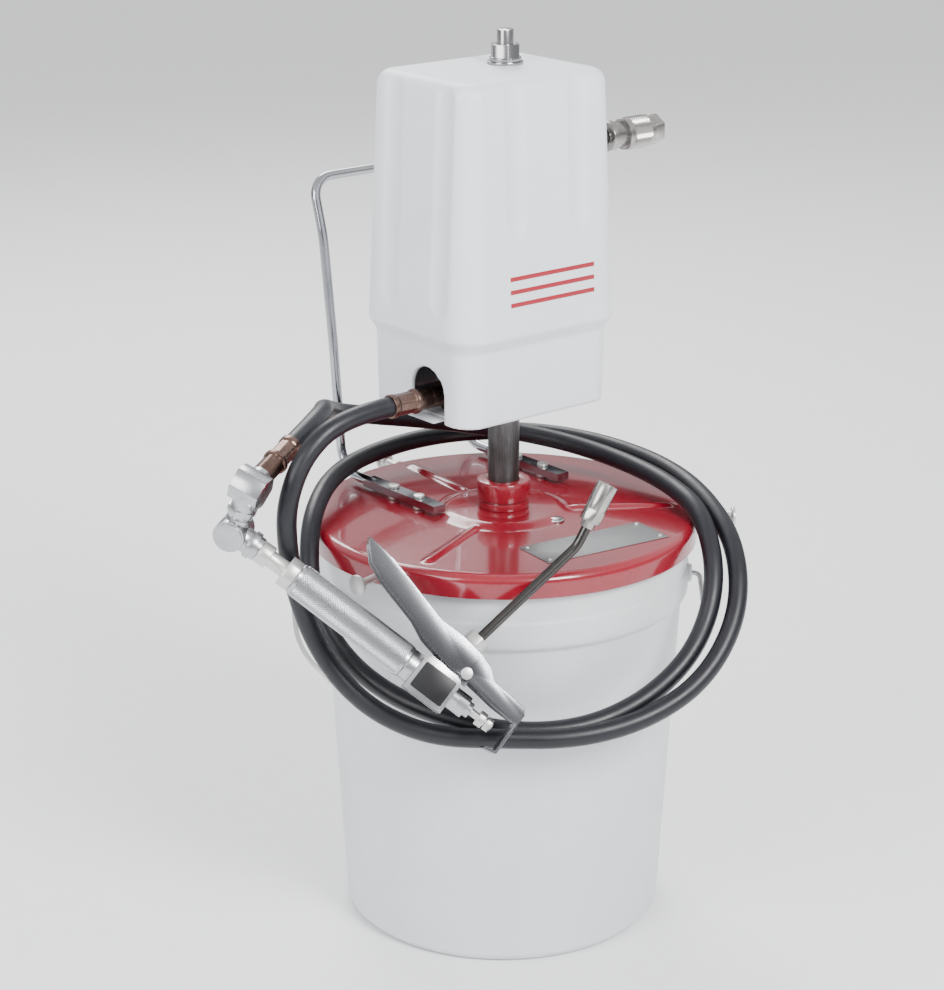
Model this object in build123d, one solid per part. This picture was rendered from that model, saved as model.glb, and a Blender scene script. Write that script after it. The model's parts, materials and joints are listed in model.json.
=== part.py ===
"""Air-operated lubricant pump standing in a pail, with its hose and hand control gun.

Frame: millimetres, +Z up, origin at the centre of the pail's foot.  +X points to the
air inlet, -X to the lubricant outlet, +Y to the carrying handle.
"""
import os
from math import cos, pi, radians, sin, sqrt, tan

from build123d import *

os.makedirs("parts", exist_ok=True)

# ---------------------------------------------------------------- driving sizes
# fits
SLIP = 0.10                     # radial clearance of a hand-turned fit
RUNNING = 0.05                  # radial clearance of a sliding rod or piston

# pail and bail
PAIL_HEIGHT = 338.0
PAIL_FOOT_RADIUS = 131.0
PAIL_MOUTH_RADIUS = 149.0
PAIL_WALL = 2.0
PAIL_FLOOR = 2.5
BAND_RADIUS = PAIL_MOUTH_RADIUS + 2.5
BAND_HEIGHT = 60.0
EAR_ANGLE = -48.0
EAR_HEIGHT = PAIL_HEIGHT - 42.0
EAR_RADIUS = 7.5
BAIL_WIRE_RADIUS = 2.0
BAIL_REACH = 180.0
BAIL_DROOP = 33.0               # degrees below level, leaning on the pail

# lid
GASKET_THICKNESS = 2.7
LID_THICKNESS = 1.6
LID_RADIUS = BAND_RADIUS + 5.8
LID_TOP = PAIL_HEIGHT + GASKET_THICKNESS + LID_THICKNESS
LID_SKIRT = 18.6
LID_EDGE_RADIUS = 7.0
PLATEAU_RADIUS = 54.0
PLATEAU_HEIGHT = 4.0
RIB_WIDTH = 9.0
RIB_HEIGHT = 2.6
RIB_ANGLES = (85.0, 205.0, 325.0)
COLLAR_TOP = LID_TOP + 27.0
VENT_PLACE = (14.2, -48.4)
PLATE_SIZE = (114.0, 42.0, 0.6)
PLATE_PLACE = (3.5, -106.6)
PLATE_TURN = -7.0

# thumb screws
SCREW_ANGLES = (83.5, 194.0, 323.5)
SCREW_HEIGHT = LID_TOP - LID_SKIRT / 2
SCREW_RADIUS = 3.0
SCREW_HEAD_RADIUS = 8.0
SCREW_HEAD_THICKNESS = 2.6
SCREW_REACH = LID_RADIUS + 31.7
BOSS_RADIUS = 6.0
BOSS_LENGTH = 7.0

# carrying handle
HANDLE_ROD_RADIUS = 4.0
HANDLE_LEFT = -52.0
HANDLE_RIGHT = 80.0
HANDLE_TOP = LID_TOP + 249.7
HANDLE_FOOT_FRONT = 18.0
HANDLE_FOOT_SIZE = (12.0, 6.5)
HANDLE_FOOT_TOP = LID_TOP + 9.7
HANDLE_SCREW_Y = (44.6, 77.5)

# pump tube, on the Z axis
TUBE_RADIUS = 12.7
TUBE_WALL = 3.2
TUBE_BORE = TUBE_RADIUS - TUBE_WALL
COLLAR_RADIUS = TUBE_RADIUS + 8.8
TUBE_BOTTOM = 66.0
FOOT_VALVE_RADIUS = TUBE_RADIUS + 2.3
FOOT_VALVE_BOTTOM = 12.0
BALL_RADIUS = 6.0
PLUNGER_BOTTOM = 120.0
PLUNGER_LENGTH = 60.0
ROD_RADIUS = 5.0
HEAD_RADIUS = 26.0
HEAD_BOTTOM = LID_TOP + 104.1
HEAD_TOP = HEAD_BOTTOM + 31.6

# air motor
MOTOR_BASE_TOP = HEAD_TOP + 16.0
CYLINDER_RADIUS = 35.0
CYLINDER_WALL = 3.0
CYLINDER_TOP = MOTOR_BASE_TOP + 128.0
TIE_ROD_CIRCLE = CYLINDER_RADIUS + 4.0
MOTOR_FLANGE_RADIUS = TIE_ROD_CIRCLE + 4.0
TIE_ROD_RADIUS = 2.5
MOTOR_HEAD_TOP = CYLINDER_TOP + 26.0
PISTON_THICKNESS = 16.0
PISTON_REST = MOTOR_BASE_TOP + 9.0
CHEST_SIZE = (46.0, 34.0, 34.0)
SPOOL_RADIUS = 7.0
SPOOL_TRAVEL = 6.0

# motor cover
COVER_PLACE = (-21.0, -8.5)
COVER_LENGTH = 163.0
COVER_WIDTH = 135.0
COVER_CORNER = 26.0
COVER_BOTTOM = HEAD_BOTTOM - 4.9
COVER_SHOULDER = COVER_BOTTOM + 69.5
COVER_TOP = MOTOR_HEAD_TOP + CHEST_SIZE[2] + 22.0
COVER_DRAFT = 2.6
COVER_STEP = 6.0
COVER_WALL = 2.2                # at the bottom of a flute
COVER_TOP_ROUND = 11.0
FLUTE_DEPTH = 2.6
FLUTE_RUNOUT = 14.0
ARCH_WIDTH = 40.0
ARCH_TOP = COVER_BOTTOM + 42.5
BASE_PLATE_THICKNESS = 3.0

# cover fastening
STUD_RADIUS = 6.4
STUD_TOP = COVER_TOP + 26.5
COVER_NUT_FLATS = 20.4
COVER_NUT_HEIGHT = 13.0

# air inlet
AIR_HEIGHT = MOTOR_HEAD_TOP - 13.5
COUPLER_START = 105.0
COUPLER_END = 160.0
COUPLER_SLEEVE_RADIUS = 13.5
COUPLER_SLEEVE_LENGTH = 27.0
COUPLER_FLATS = 22.0
AIR_PORT_RADIUS = 5.7
AIR_PORT_DEPTH = 12.0

# lubricant outlet
OUTLET_Y = -22.0
OUTLET_HEIGHT = HEAD_BOTTOM + 12.6
FERRULE_RADIUS = 9.3
FERRULE_LENGTH = 24.0

# hose
HOSE_RADIUS = 7.75
HOSE_ROUTE = [
    (-132, -22, 459), (-175, -22, 459), (-210, -20, 438), (-228, -19, 401),
    (-226, -17, 361), (-217, -16, 323), (-208, -25, 286), (-196, -44, 255),
    (-181, -71, 234), (-156, -105, 221), (-117, -136, 219), (-72, -171, 218),
    (-18, -193, 226), (37, -201, 248), (79, -193, 289), (105, -163, 330),
    (126, -108, 352), (142, -44, 360), (138, 21, 364), (117, 77, 366),
    (77, 120, 366), (24, 139, 365), (-32, 136, 363), (-82, 114, 363),
    (-125, 81, 360), (-160, 48, 345), (-180, 19, 309), (-178, -9, 270),
    (-164, -49, 243), (-138, -96, 228), (-99, -139, 219), (-49, -167, 221),
    (6, -178, 237), (50, -180, 268), (78, -169, 313), (101, -128, 351),
    (114, -73, 360), (115, -13, 365), (99, 45, 371), (65, 93, 377),
    (19, 122, 386), (-37, 128, 399), (-86, 111, 415), (-127, 71, 436),
    (-160, 25, 449), (-204, 6, 436),
]

# control gun: heel of the grip, direction of the grip, direction of the outlet
GUN_HEEL = Vector(-234.6, -39.0, 349.5)
GUN_AXIS = Vector(0.508, -0.632, -0.585).normalized()
GUN_OUTLET = Vector(0.780, -0.187, 0.597).normalized()
SWIVEL_REACH = 61.0              # from the hose's end to the upper elbow
GRIP_LENGTH = 104.0
GRIP_RADIUS = 13.5
GRIP_BORE = 6.0
GUN_BODY_LENGTH = 34.0
GUN_BODY_WIDTH = 26.0
GUN_NECK = 8.0
OUTLET_STATION = 129.0
OUTLET_HEX_START = 34.0
OUTLET_HEX_LENGTH = 15.0
EXTENSION_RADIUS = 3.8
EXTENSION_REACH = 150.0
EXTENSION_NOSE = Vector(0.466, -0.130, 0.875).normalized()
GREASE_COUPLER_RADIUS = 8.2
GREASE_COUPLER_LENGTH = 36.0
GREASE_COUPLER_BORE = 4.6
PIVOT = (144.0, 19.5)
PIVOT_RADIUS = 3.0
LEVER_PLATE = 2.0
STEM_RADIUS = 3.0

CENTRED = (Align.CENTER, Align.CENTER, Align.CENTER)
STANDING = (Align.CENTER, Align.CENTER, Align.MIN)


# ---------------------------------------------------------------- small helpers
def save(name, shape):
    """Write one sub-part to its own STEP file."""
    shape.label = name
    export_step(shape, f"parts/{name}.step")


def disc(radius, start, end, bore=0.0):
    """Round bar along Z from start to end, with an optional through bore."""
    solid = Pos(0, 0, start) * Cylinder(radius, end - start, align=STANDING)
    if bore:
        solid -= Pos(0, 0, start - 1) * Cylinder(bore, end - start + 2, align=STANDING)
    return solid


def hexagon(flats, start, end, bore=0.0):
    """Hexagonal bar along Z, measured across its flats."""
    solid = extrude(Pos(0, 0, start) * RegularPolygon(flats / 2, 6, major_radius=False), end - start)
    solid = solid & disc(flats / 2 * 1.11, start, end)
    if bore:
        solid -= disc(bore, start - 1, end + 1)
    return solid


def turned(*profile):
    """Solid of revolution about Z from (radius, height) corners."""
    face = make_face(Polyline(*[(radius, 0, height) for radius, height in profile], close=True))
    return revolve(face, Axis.Z)


def towards(start, direction):
    """Plane whose Z axis runs from start along direction."""
    return Plane(origin=Vector(*start) if isinstance(start, tuple) else start, z_dir=direction)


def spoke(angle, height, radius=0.0):
    """Plane at a radius from the main axis, with Z pointing outward."""
    out = Vector(cos(radians(angle)), sin(radians(angle)), 0)
    return Plane(origin=out * radius + Vector(0, 0, height), x_dir=Vector(0, 0, 1), z_dir=out)


def corner_radii(points):
    """Largest arc that the two runs at each corner of a route leave room for."""
    radii = []
    for before, here, after in zip(points, points[1:], points[2:]):
        into, out = Vector(*here) - Vector(*before), Vector(*after) - Vector(*here)
        half_turn = radians(into.get_angle(out)) / 2
        radii.append(0.45 * min(into.length, out.length) / tan(half_turn))
    return radii


def swept_bar(path, radius):
    """Round bar along a path of straight runs and tangent arcs."""
    start = Plane(origin=path @ 0, z_dir=path % 0)
    return sweep(start * Circle(radius), path=path)


def pail_radius(height):
    """Outer radius of the tapered pail wall."""
    return PAIL_FOOT_RADIUS + (PAIL_MOUTH_RADIUS - PAIL_FOOT_RADIUS) * height / PAIL_HEIGHT


# ---------------------------------------------------------------- pail and bail
def make_pail():
    """Tapered pail with a stiffening band and two bored ears."""
    band_bottom = PAIL_HEIGHT - BAND_HEIGHT
    body = turned(
        (0, 0), (PAIL_FOOT_RADIUS, 0),
        (pail_radius(band_bottom), band_bottom), (BAND_RADIUS - 1.5, band_bottom + 1),
        (BAND_RADIUS, band_bottom + 5), (BAND_RADIUS, PAIL_HEIGHT),
        (PAIL_MOUTH_RADIUS - PAIL_WALL, PAIL_HEIGHT),
        (pail_radius(PAIL_FLOOR) - PAIL_WALL, PAIL_FLOOR), (0, PAIL_FLOOR),
    )
    for angle in (EAR_ANGLE, EAR_ANGLE + 180):
        ear = spoke(angle, EAR_HEIGHT, BAND_RADIUS)
        body += ear * disc(EAR_RADIUS, -3, 3)
        body -= ear * disc(BAIL_WIRE_RADIUS + SLIP, -1.5, 4)
    return body


def make_bail():
    """Wire bail that hangs in front of the pail, its ends in the ears."""
    droop = radians(BAIL_DROOP)
    turn = radians(EAR_ANGLE)
    across = Vector(cos(turn), sin(turn), 0)
    hang = Vector(sin(turn), -cos(turn), 0) * cos(droop) - Vector(0, 0, 1) * sin(droop)
    tip = BAND_RADIUS - 1.2
    half = [(tip, 0), (tip + 10, 0), (tip + 18, 45), (tip + 4, 98), (tip - 51, 147), (0, BAIL_REACH)]
    flat = half + [(-x, y) for x, y in reversed(half[:-1])]
    points = [across * x + hang * y + Vector(0, 0, EAR_HEIGHT) for x, y in flat]
    corners = [min(radius, 160.0) for radius in corner_radii([tuple(point) for point in points])]
    return swept_bar(FilletPolyline(*points, radius=corners), BAIL_WIRE_RADIUS)


# ---------------------------------------------------------------- lid
def make_lid():
    """Pressed steel lid: rolled edge, raised plateau and three ribs."""
    inner = LID_RADIUS - LID_THICKNESS
    under = LID_TOP - LID_THICKNESS
    bottom = LID_TOP - LID_SKIRT
    slope = PLATEAU_HEIGHT * 1.6
    body = turned(
        (TUBE_RADIUS + 1, LID_TOP + PLATEAU_HEIGHT - LID_THICKNESS), (TUBE_RADIUS + 1, LID_TOP + PLATEAU_HEIGHT),
        (PLATEAU_RADIUS - slope, LID_TOP + PLATEAU_HEIGHT), (PLATEAU_RADIUS, LID_TOP),
        (LID_RADIUS - LID_EDGE_RADIUS, LID_TOP), (LID_RADIUS - 2, LID_TOP - 2),
        (LID_RADIUS, LID_TOP - LID_EDGE_RADIUS), (LID_RADIUS, bottom),
        (inner, bottom), (inner, LID_TOP - LID_EDGE_RADIUS),
        (inner - 2, under - 1), (LID_RADIUS - LID_EDGE_RADIUS, under),
        (PLATEAU_RADIUS, under), (PLATEAU_RADIUS - slope, under + PLATEAU_HEIGHT),
    )
    start, end = PLATEAU_RADIUS + 3, LID_RADIUS - 17
    for angle in RIB_ANGLES:
        slot = SlotOverall(end - start, RIB_WIDTH)
        rib = Rot(0, 0, angle) * Pos((start + end) / 2, 0, LID_TOP) * extrude(slot, RIB_HEIGHT, taper=35)
        body += rib
    for angle in SCREW_ANGLES:
        body -= spoke(angle, SCREW_HEIGHT, inner - 2) * disc(SCREW_RADIUS + SLIP, 0, 6)
    vent = disc(5.0, under - 1, LID_TOP) + disc(7.2, LID_TOP, LID_TOP + 6)
    return body - Pos(*VENT_PLACE, 0) * vent


def make_gasket():
    """Flat ring squeezed between the pail's rim and the lid."""
    outer = LID_RADIUS - LID_EDGE_RADIUS - 0.5
    return disc(outer, PAIL_HEIGHT, LID_TOP - LID_THICKNESS, bore=outer - 8)


def make_collar():
    """Turned collar on the lid that the pump tube stands in."""
    seat = LID_TOP + PLATEAU_HEIGHT
    groove = seat + 6
    return turned(
        (TUBE_RADIUS, seat), (COLLAR_RADIUS - 0.8, seat), (COLLAR_RADIUS - 0.8, groove),
        (COLLAR_RADIUS - 2, groove), (COLLAR_RADIUS - 2, groove + 1.4),
        (COLLAR_RADIUS, groove + 1.4), (COLLAR_RADIUS, COLLAR_TOP - 1), (COLLAR_RADIUS - 1, COLLAR_TOP),
        (TUBE_RADIUS, COLLAR_TOP),
    )


def make_vent():
    """Round-headed vent plug pressed into the lid."""
    plug = disc(7.0, 0, 1.6) + disc(4.6, 1.6, 2.8)
    return Pos(*VENT_PLACE, LID_TOP) * (plug + disc(5.0, -LID_THICKNESS - 4, 0))


def make_label_plate():
    """Thin rating plate riveted to the lid, left blank."""
    length, width, thickness = PLATE_SIZE
    plate = extrude(RectangleRounded(length, width, 4), thickness)
    return Pos(*PLATE_PLACE, LID_TOP) * Rot(0, 0, PLATE_TURN) * plate


def make_bosses():
    """Threaded bosses welded round the lid's skirt, one for each thumb screw."""
    boss = disc(BOSS_RADIUS, 0, BOSS_LENGTH, bore=SCREW_RADIUS + SLIP)
    skirt = disc(LID_RADIUS, LID_TOP - LID_SKIRT - BOSS_RADIUS, LID_TOP)
    bosses = [spoke(angle, SCREW_HEIGHT, LID_RADIUS - 1) * boss - skirt for angle in SCREW_ANGLES]
    return Compound(children=bosses)


def make_thumb_screw(angle):
    """Thumb screw whose tip stops just short of the pail's band."""
    tip = BAND_RADIUS + 0.4
    length = SCREW_REACH - tip
    screw = disc(SCREW_RADIUS, 0, length - SCREW_HEAD_THICKNESS)
    head = Cylinder(SCREW_HEAD_RADIUS, SCREW_HEAD_THICKNESS, align=CENTRED)
    collar = disc(SCREW_RADIUS + 1.6, length - SCREW_HEAD_THICKNESS - 4, length - SCREW_HEAD_THICKNESS)
    screw += collar + Pos(0, 0, length - SCREW_HEAD_THICKNESS / 2) * head
    return spoke(angle, SCREW_HEIGHT, tip) * screw


# ---------------------------------------------------------------- carrying handle
def make_handle():
    """One bent rod whose flattened ends are screwed to the lid."""
    width, thickness = HANDLE_FOOT_SIZE
    level = HANDLE_FOOT_TOP - thickness / 2

    def leg(x):
        return [(x, 104, level), (x, 148, level), (x, 158, HANDLE_TOP - 140), (x, 170, HANDLE_TOP - 47), (x, 184, HANDLE_TOP)]

    points = leg(HANDLE_LEFT) + list(reversed(leg(HANDLE_RIGHT)))
    bends = [24.0, 120.0, 90.0, 18.0, 18.0, 90.0, 120.0, 24.0]
    rod = swept_bar(FilletPolyline(*points, radius=bends), HANDLE_ROD_RADIUS)
    for x in (HANDLE_LEFT, HANDLE_RIGHT):
        foot = Pos(x, (HANDLE_FOOT_FRONT + 112) / 2, level) * Box(width, 112 - HANDLE_FOOT_FRONT, thickness)
        for y in HANDLE_SCREW_Y:
            foot -= Pos(x, y, level) * Cylinder(3.2, thickness + 2)
        rod += foot
    return rod


def make_handle_screws():
    """Four screws with the spacers that hold the feet off the lid."""
    thickness = HANDLE_FOOT_SIZE[1]
    screws = []
    for x in (HANDLE_LEFT, HANDLE_RIGHT):
        for y in HANDLE_SCREW_Y:
            screw = disc(5.0, LID_TOP, HANDLE_FOOT_TOP - thickness)
            screw += disc(3.0, LID_TOP, HANDLE_FOOT_TOP) + disc(4.6, HANDLE_FOOT_TOP, HANDLE_FOOT_TOP + 2.4)
            screws.append(Pos(x, y, 0) * screw)
    return Compound(children=screws)


# ---------------------------------------------------------------- pump tube and its inside
def make_pump_tube():
    """Long pump tube from the outlet head down to the foot valve."""
    return disc(TUBE_RADIUS, TUBE_BOTTOM, HEAD_BOTTOM, bore=TUBE_BORE)


def make_foot_valve():
    """Foot valve with side inlets, a ball chamber and a ball seat."""
    chamber = FOOT_VALVE_BOTTOM + 24
    body = disc(FOOT_VALVE_RADIUS, FOOT_VALVE_BOTTOM, TUBE_BOTTOM)
    body -= disc(TUBE_BORE, chamber, TUBE_BOTTOM + 1)
    body -= disc(BALL_RADIUS - 1.5, FOOT_VALVE_BOTTOM - 1, chamber + 1)
    for angle in (0, 90):
        body -= Pos(0, 0, FOOT_VALVE_BOTTOM + 6) * Rot(0, 0, angle) * Box(2 * FOOT_VALVE_RADIUS + 2, 6, 7)
    return body


def make_inlet_ball():
    """Steel ball resting on the foot valve's seat."""
    drop = sqrt(BALL_RADIUS**2 - (BALL_RADIUS - 1.5) ** 2)
    return Pos(0, 0, FOOT_VALVE_BOTTOM + 24 + drop + 0.1) * Sphere(BALL_RADIUS)


def make_plunger():
    """Hollow plunger that slides in the tube and holds the discharge ball."""
    outer = TUBE_BORE - RUNNING
    cavity = PLUNGER_BOTTOM + 14
    body = disc(outer, PLUNGER_BOTTOM, PLUNGER_BOTTOM + PLUNGER_LENGTH)
    body -= disc(4.0, PLUNGER_BOTTOM - 1, cavity + 1)
    body -= disc(7.0, cavity, cavity + 20)
    body -= Pos(0, 0, cavity + 26) * Box(2 * outer + 2, 6, 14)
    body -= disc(3.0, cavity + 19, cavity + 30)
    return body


def make_discharge_ball():
    """Small ball on the plunger's seat."""
    radius = 5.0
    drop = sqrt(radius**2 - 4.0**2)
    return Pos(0, 0, PLUNGER_BOTTOM + 14 + drop + 0.1) * Sphere(radius)


def make_piston_rod():
    """Rod that ties the air piston to the plunger."""
    return disc(ROD_RADIUS, PLUNGER_BOTTOM + PLUNGER_LENGTH, PISTON_REST)


def make_pump_head():
    """Outlet head on top of the tube, with an offset boss for the outlet."""
    boss_half = 14.0
    body = disc(HEAD_RADIUS, HEAD_BOTTOM, HEAD_TOP)
    body += Pos(-23, OUTLET_Y, OUTLET_HEIGHT) * Box(44, 2 * boss_half, 24)
    body -= disc(TUBE_BORE, HEAD_BOTTOM - 1, HEAD_TOP - 12)
    body -= disc(ROD_RADIUS + RUNNING, HEAD_BOTTOM, HEAD_TOP + 1)
    body -= disc(12.0, HEAD_TOP - 8, HEAD_TOP + 1)
    port = towards((-46, OUTLET_Y, OUTLET_HEIGHT), Vector(1, 0, 0))
    body -= port * disc(4.0, -1, 36)
    return body


def make_rod_packing():
    """Packing ring round the rod."""
    return disc(12.0, HEAD_TOP - 8, HEAD_TOP - 1, bore=ROD_RADIUS + RUNNING)


# ---------------------------------------------------------------- air motor
def make_base_plate():
    """Steel plate that closes the cover's underside."""
    bottom = COVER_BOTTOM + 1.9
    inset = COVER_STEP + COVER_WALL + FLUTE_DEPTH
    length, width = COVER_LENGTH - 2 * inset - 5, COVER_WIDTH - 2 * inset - 5
    sketch = RectangleRounded(length, width, COVER_CORNER - inset)
    plate = Pos(*COVER_PLACE, bottom) * extrude(sketch, BASE_PLATE_THICKNESS)
    lip = Pos(COVER_PLACE[0] - length / 2 - 1, OUTLET_Y, bottom) * Box(24, ARCH_WIDTH - 8, 1.6, align=STANDING)
    return plate + lip - disc(TUBE_RADIUS + 0.1, bottom - 1, bottom + BASE_PLATE_THICKNESS + 1)


def make_cylinder_base():
    """Lower flange of the air motor."""
    body = disc(MOTOR_FLANGE_RADIUS, HEAD_TOP, MOTOR_BASE_TOP, bore=ROD_RADIUS + RUNNING)
    return drill_tie_rods(body, HEAD_TOP - 1, MOTOR_BASE_TOP + 1)


def drill_tie_rods(body, start, end):
    """Cut the four tie rod holes."""
    for corner in range(4):
        place = Rot(0, 0, 45 + 90 * corner) * Pos(TIE_ROD_CIRCLE, 0, 0)
        body -= place * disc(TIE_ROD_RADIUS, start, end)
    return body


def make_air_cylinder():
    """Plain bored cylinder between the two flanges."""
    return disc(CYLINDER_RADIUS, MOTOR_BASE_TOP, CYLINDER_TOP, bore=CYLINDER_RADIUS - CYLINDER_WALL)


def make_cylinder_head():
    """Upper flange, with the air port in its side."""
    body = disc(MOTOR_FLANGE_RADIUS, CYLINDER_TOP, MOTOR_HEAD_TOP)
    body -= towards((0, 0, AIR_HEIGHT), Vector(1, 0, 0)) * disc(5.0, 10, MOTOR_FLANGE_RADIUS + 1)
    return drill_tie_rods(body, CYLINDER_TOP - 1, MOTOR_HEAD_TOP + 1)


def make_tie_rods():
    """Four tie rods with their nuts."""
    rods = []
    for corner in range(4):
        rod = disc(TIE_ROD_RADIUS, HEAD_TOP, MOTOR_HEAD_TOP) + hexagon(8, MOTOR_HEAD_TOP, MOTOR_HEAD_TOP + 4)
        rods.append(Rot(0, 0, 45 + 90 * corner) * Pos(TIE_ROD_CIRCLE, 0, 0) * rod)
    return Compound(children=rods)


def make_air_piston():
    """Air piston at the bottom of its stroke."""
    radius = CYLINDER_RADIUS - CYLINDER_WALL - RUNNING
    groove = PISTON_REST + PISTON_THICKNESS / 2
    body = disc(radius, PISTON_REST, PISTON_REST + PISTON_THICKNESS)
    return body - (disc(radius + 1, groove - 2, groove + 2) - disc(radius - 3, groove - 3, groove + 3))


def make_piston_seal():
    """Seal ring in the piston's groove."""
    radius = CYLINDER_RADIUS - CYLINDER_WALL - RUNNING
    middle = PISTON_REST + PISTON_THICKNESS / 2
    return disc(radius, middle - 2, middle + 2, bore=radius - 3)


def make_valve_chest():
    """Valve chest on the head, bored for the spool."""
    length, width, height = CHEST_SIZE
    body = Pos(0, 0, MOTOR_HEAD_TOP) * Box(length, width, height, align=STANDING)
    bore = towards((0, 0, MOTOR_HEAD_TOP + height / 2), Vector(0, 1, 0))
    return body - bore * disc(SPOOL_RADIUS + RUNNING, -width / 2 - 1, width / 2 + 1)


def make_air_spool():
    """Spool that swaps the air from one side of the piston to the other."""
    width = CHEST_SIZE[1]
    place = towards((0, 0, MOTOR_HEAD_TOP + CHEST_SIZE[2] / 2), Vector(0, 1, 0))
    spool = disc(SPOOL_RADIUS, -width / 2 - SPOOL_TRAVEL / 2, width / 2 - SPOOL_TRAVEL / 2)
    for station in (-9, 3):
        spool -= disc(SPOOL_RADIUS + 1, station - 3, station + 3) - disc(SPOOL_RADIUS - 2, station - 4, station + 4)
    return place * spool


def make_muffler():
    """Sintered exhaust muffler on the side of the chest."""
    place = towards((-CHEST_SIZE[0] / 2, 0, MOTOR_HEAD_TOP + CHEST_SIZE[2] / 2), Vector(-1, 0, 0))
    return place * (disc(5.0, 0, 4) + disc(9.0, 4, 26))


# ---------------------------------------------------------------- motor cover
def cover_block(inset):
    """Solid of the cover's outline; set in by the wall, it runs out through the open bottom."""
    length, width, corner = COVER_LENGTH - 2 * inset, COVER_WIDTH - 2 * inset, COVER_CORNER - inset
    step_bottom = COVER_SHOULDER - 10
    upper = extrude(RectangleRounded(length, width, corner), COVER_TOP - inset - COVER_SHOULDER, taper=COVER_DRAFT)
    upper = fillet(upper.edges().group_by(Axis.Z)[-1], COVER_TOP_ROUND - inset)
    low = RectangleRounded(length - 2 * COVER_STEP, width - 2 * COVER_STEP, corner - COVER_STEP)
    step = loft([low, Pos(0, 0, COVER_SHOULDER - step_bottom) * RectangleRounded(length, width, corner)])
    overrun = 1.0 if inset else 0.0
    skirt = extrude(low, -(step_bottom - COVER_BOTTOM + overrun), taper=1.2)
    body = Pos(0, 0, COVER_SHOULDER) * upper + Pos(0, 0, step_bottom) * step + Pos(0, 0, step_bottom) * skirt
    return Pos(*COVER_PLACE, 0) * body


def flute_rods():
    """Taper-ended rods that press the flutes into the four upright faces."""
    slope = tan(radians(COVER_DRAFT))
    rods = []
    for side in (-1, 1):
        for offset in (-26.5, 35.5):
            rods.append(flute("Y", side, offset, 10.0, COVER_SHOULDER + 86, slope))
        for offset in (-35.6, 25.6):
            rods.append(flute("X", side, offset, 11.0, COVER_SHOULDER + 27, slope))
    return rods


def flute(face, side, offset, half_width, bottom, slope):
    """One flute rod lying along a drafted face."""
    radius = (half_width**2 + FLUTE_DEPTH**2) / (2 * FLUTE_DEPTH)
    reach = (COVER_LENGTH if face == "X" else COVER_WIDTH) / 2

    def centre(height):
        out = side * (reach - (height - COVER_SHOULDER) * slope + radius - FLUTE_DEPTH)
        flat = (out, offset) if face == "X" else (offset, out)
        return Vector(COVER_PLACE[0] + flat[0], COVER_PLACE[1] + flat[1], height)

    low, high = centre(bottom), centre(COVER_TOP + 20)
    rod = disc(radius, 0, (high - low).length)
    rod += Pos(0, 0, -FLUTE_RUNOUT) * Cone(radius - FLUTE_DEPTH - 0.5, radius, FLUTE_RUNOUT, align=STANDING)
    return towards(low, (high - low).normalized()) * rod


def make_cover():
    """Moulded motor cover: thin shell, open below, with an arch for the outlet."""
    shell = cover_block(0.0)
    for rod in flute_rods():
        shell -= rod
    shell -= cover_block(COVER_WALL + FLUTE_DEPTH)
    arch_radius = ARCH_WIDTH / 2
    arch_x = COVER_PLACE[0] - COVER_LENGTH / 2
    arch_foot = ARCH_TOP - arch_radius
    shell -= Pos(arch_x, OUTLET_Y, arch_foot) * Rot(0, 90, 0) * Cylinder(arch_radius, 50)
    jamb = arch_foot - COVER_BOTTOM + 4
    shell -= Pos(arch_x, OUTLET_Y, arch_foot - jamb / 2) * Box(50, ARCH_WIDTH, jamb)
    shell -= towards((0, 0, AIR_HEIGHT), Vector(1, 0, 0)) * disc(9.5, 30, COVER_LENGTH)
    return shell - disc(STUD_RADIUS + 0.5, COVER_TOP - 20, COVER_TOP + 5)


def make_stud():
    """Stud that the cover hangs on."""
    return disc(STUD_RADIUS, MOTOR_HEAD_TOP + CHEST_SIZE[2], STUD_TOP)


def make_cover_washer():
    """Washer under the cover nut."""
    return disc(14.0, COVER_TOP, COVER_TOP + 2.2, bore=STUD_RADIUS)


def make_cover_nut():
    """Flanged nut that clamps the cover."""
    start = COVER_TOP + 2.2
    nut = disc(12.4, start, start + 3) + hexagon(COVER_NUT_FLATS, start + 3, start + COVER_NUT_HEIGHT)
    return nut - disc(STUD_RADIUS, start - 1, start + COVER_NUT_HEIGHT + 1)


# ---------------------------------------------------------------- air inlet
AIR_LINE = Plane(origin=Vector(0, 0, AIR_HEIGHT), z_dir=Vector(1, 0, 0))


def make_inlet_nipple():
    """Nipple from the motor head out to the quick coupler."""
    nipple = disc(7.0, MOTOR_FLANGE_RADIUS, COUPLER_START - 6) + hexagon(15, 62, 74)
    nipple += disc(5.0, MOTOR_FLANGE_RADIUS, COUPLER_START + 8)
    return AIR_LINE * (nipple - disc(3.2, MOTOR_FLANGE_RADIUS - 1, COUPLER_START + 9))


def make_coupler_body():
    """Quick coupler body that turns on the nipple, with a threaded hex end."""
    sleeve_seat = COUPLER_SLEEVE_RADIUS - 3.5
    body = disc(12.0, COUPLER_START, COUPLER_START + 7)
    body += disc(sleeve_seat, COUPLER_START + 7, COUPLER_END - 10)
    body += hexagon(COUPLER_FLATS, COUPLER_END - 10, COUPLER_END)
    body -= disc(5.0 + SLIP, COUPLER_START - 1, COUPLER_START + 10)
    body -= disc(3.2, COUPLER_START, COUPLER_END)
    return AIR_LINE * (body - disc(AIR_PORT_RADIUS, COUPLER_END - AIR_PORT_DEPTH, COUPLER_END + 1))


def make_coupler_sleeve():
    """Knurled sleeve that slides back to release the coupler."""
    end = COUPLER_END - 10.5
    return AIR_LINE * disc(
        COUPLER_SLEEVE_RADIUS, end - COUPLER_SLEEVE_LENGTH, end, bore=COUPLER_SLEEVE_RADIUS - 3.5 + SLIP)


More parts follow.
